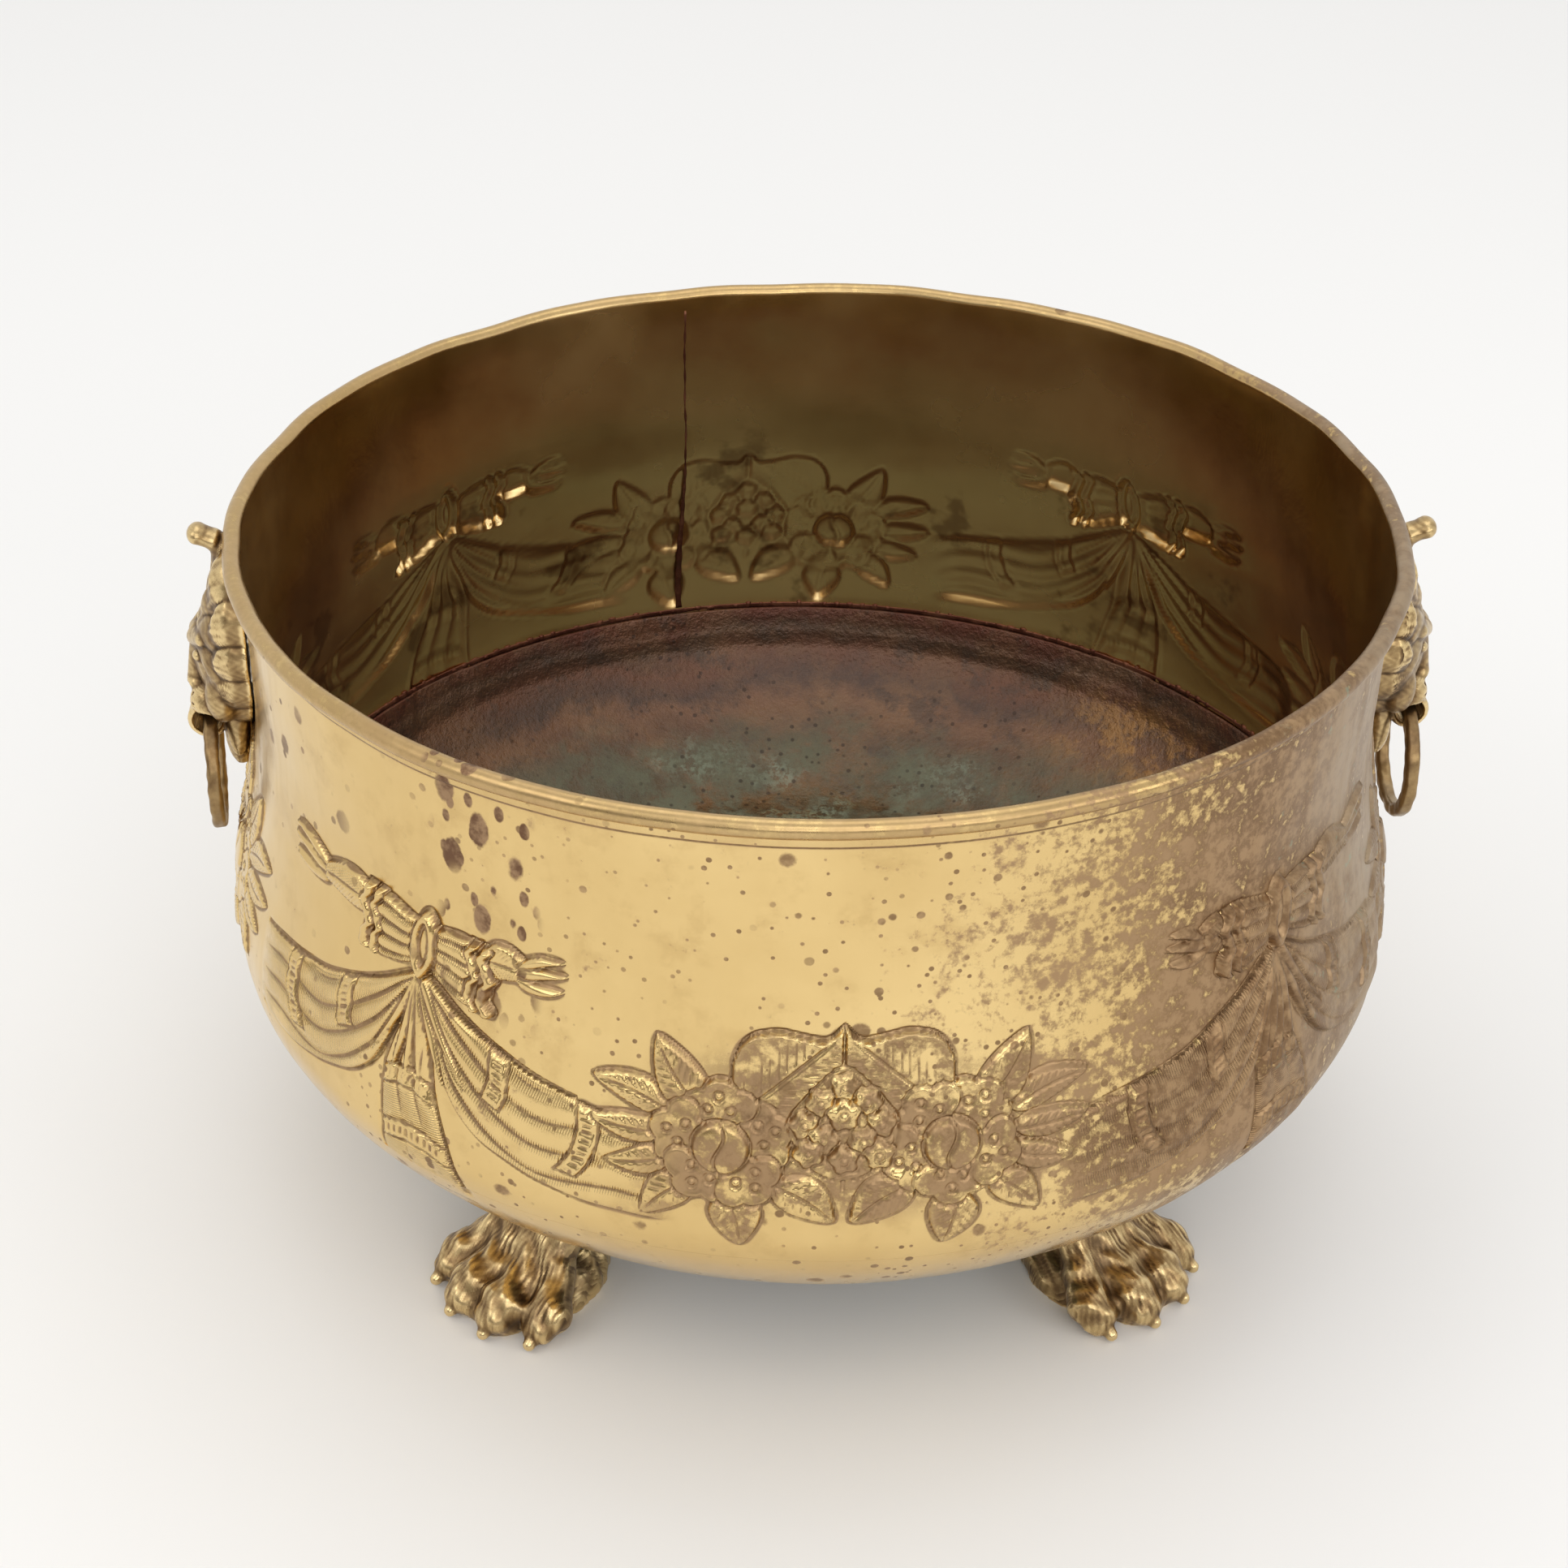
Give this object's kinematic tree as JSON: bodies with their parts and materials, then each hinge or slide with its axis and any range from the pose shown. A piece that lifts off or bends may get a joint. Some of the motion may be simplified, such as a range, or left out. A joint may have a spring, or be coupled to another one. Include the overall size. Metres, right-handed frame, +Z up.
{
  "type": "footed brass planter pot",
  "caption": "Round chased brass planter on cast lion-paw feet, with a rolled rim, lion masks at the sides and a loose ring handle in each mouth.",
  "frame": {"origin": "on the ground, under the middle of the bowl", "axes": "+Z up; the ring handles are on -X (left) and +X (right); the front faces -Y"},
  "size_m": [0.391, 0.3682, 0.2302],
  "materials": {
    "sheet_brass": "polished sheet with brown drip spots and tarnish",
    "pan_brass": "dark red-brown patina with verdigris inside, polished outside",
    "cast_brass": "antique cast brass, bright on the high spots",
    "spelter": "dull dark brazing metal",
    "soft_solder": "dull grey solder"
  },
  "bodies": {
    "planter": {"drum_wall": "sheet_brass", "rim_wire": "sheet_brass", "base_pan": "pan_brass", "side_seam_spelter": "spelter", "pan_seam_spelter": "spelter", "lion_mask_left": "cast_brass", "lion_mask_right": "cast_brass", "mask_solder_left": "soft_solder", "mask_solder_right": "soft_solder", "paw_front_left": "cast_brass", "paw_front_right": "cast_brass", "paw_back_right": "cast_brass", "paw_back_left": "cast_brass", "paw_solder_front_left": "soft_solder", "paw_solder_front_right": "soft_solder", "paw_solder_back_right": "soft_solder", "paw_solder_back_left": "soft_solder"},
    "left_ring": {"ring_left": "cast_brass"},
    "right_ring": {"ring_right": "cast_brass"}
  },
  "joints": [
    {"name": "left_ring_swing", "type": "hinge", "parent": "planter", "child": "left_ring", "pos_m": [-0.1892, 0, 0.1601], "axis": [0, 1, 0], "range_deg": [-2.5, 100]},
    {"name": "right_ring_swing", "type": "hinge", "parent": "planter", "child": "right_ring", "pos_m": [0.1892, 0, 0.1601], "axis": [0, -1, 0], "range_deg": [-2.5, 100]}
  ]
}
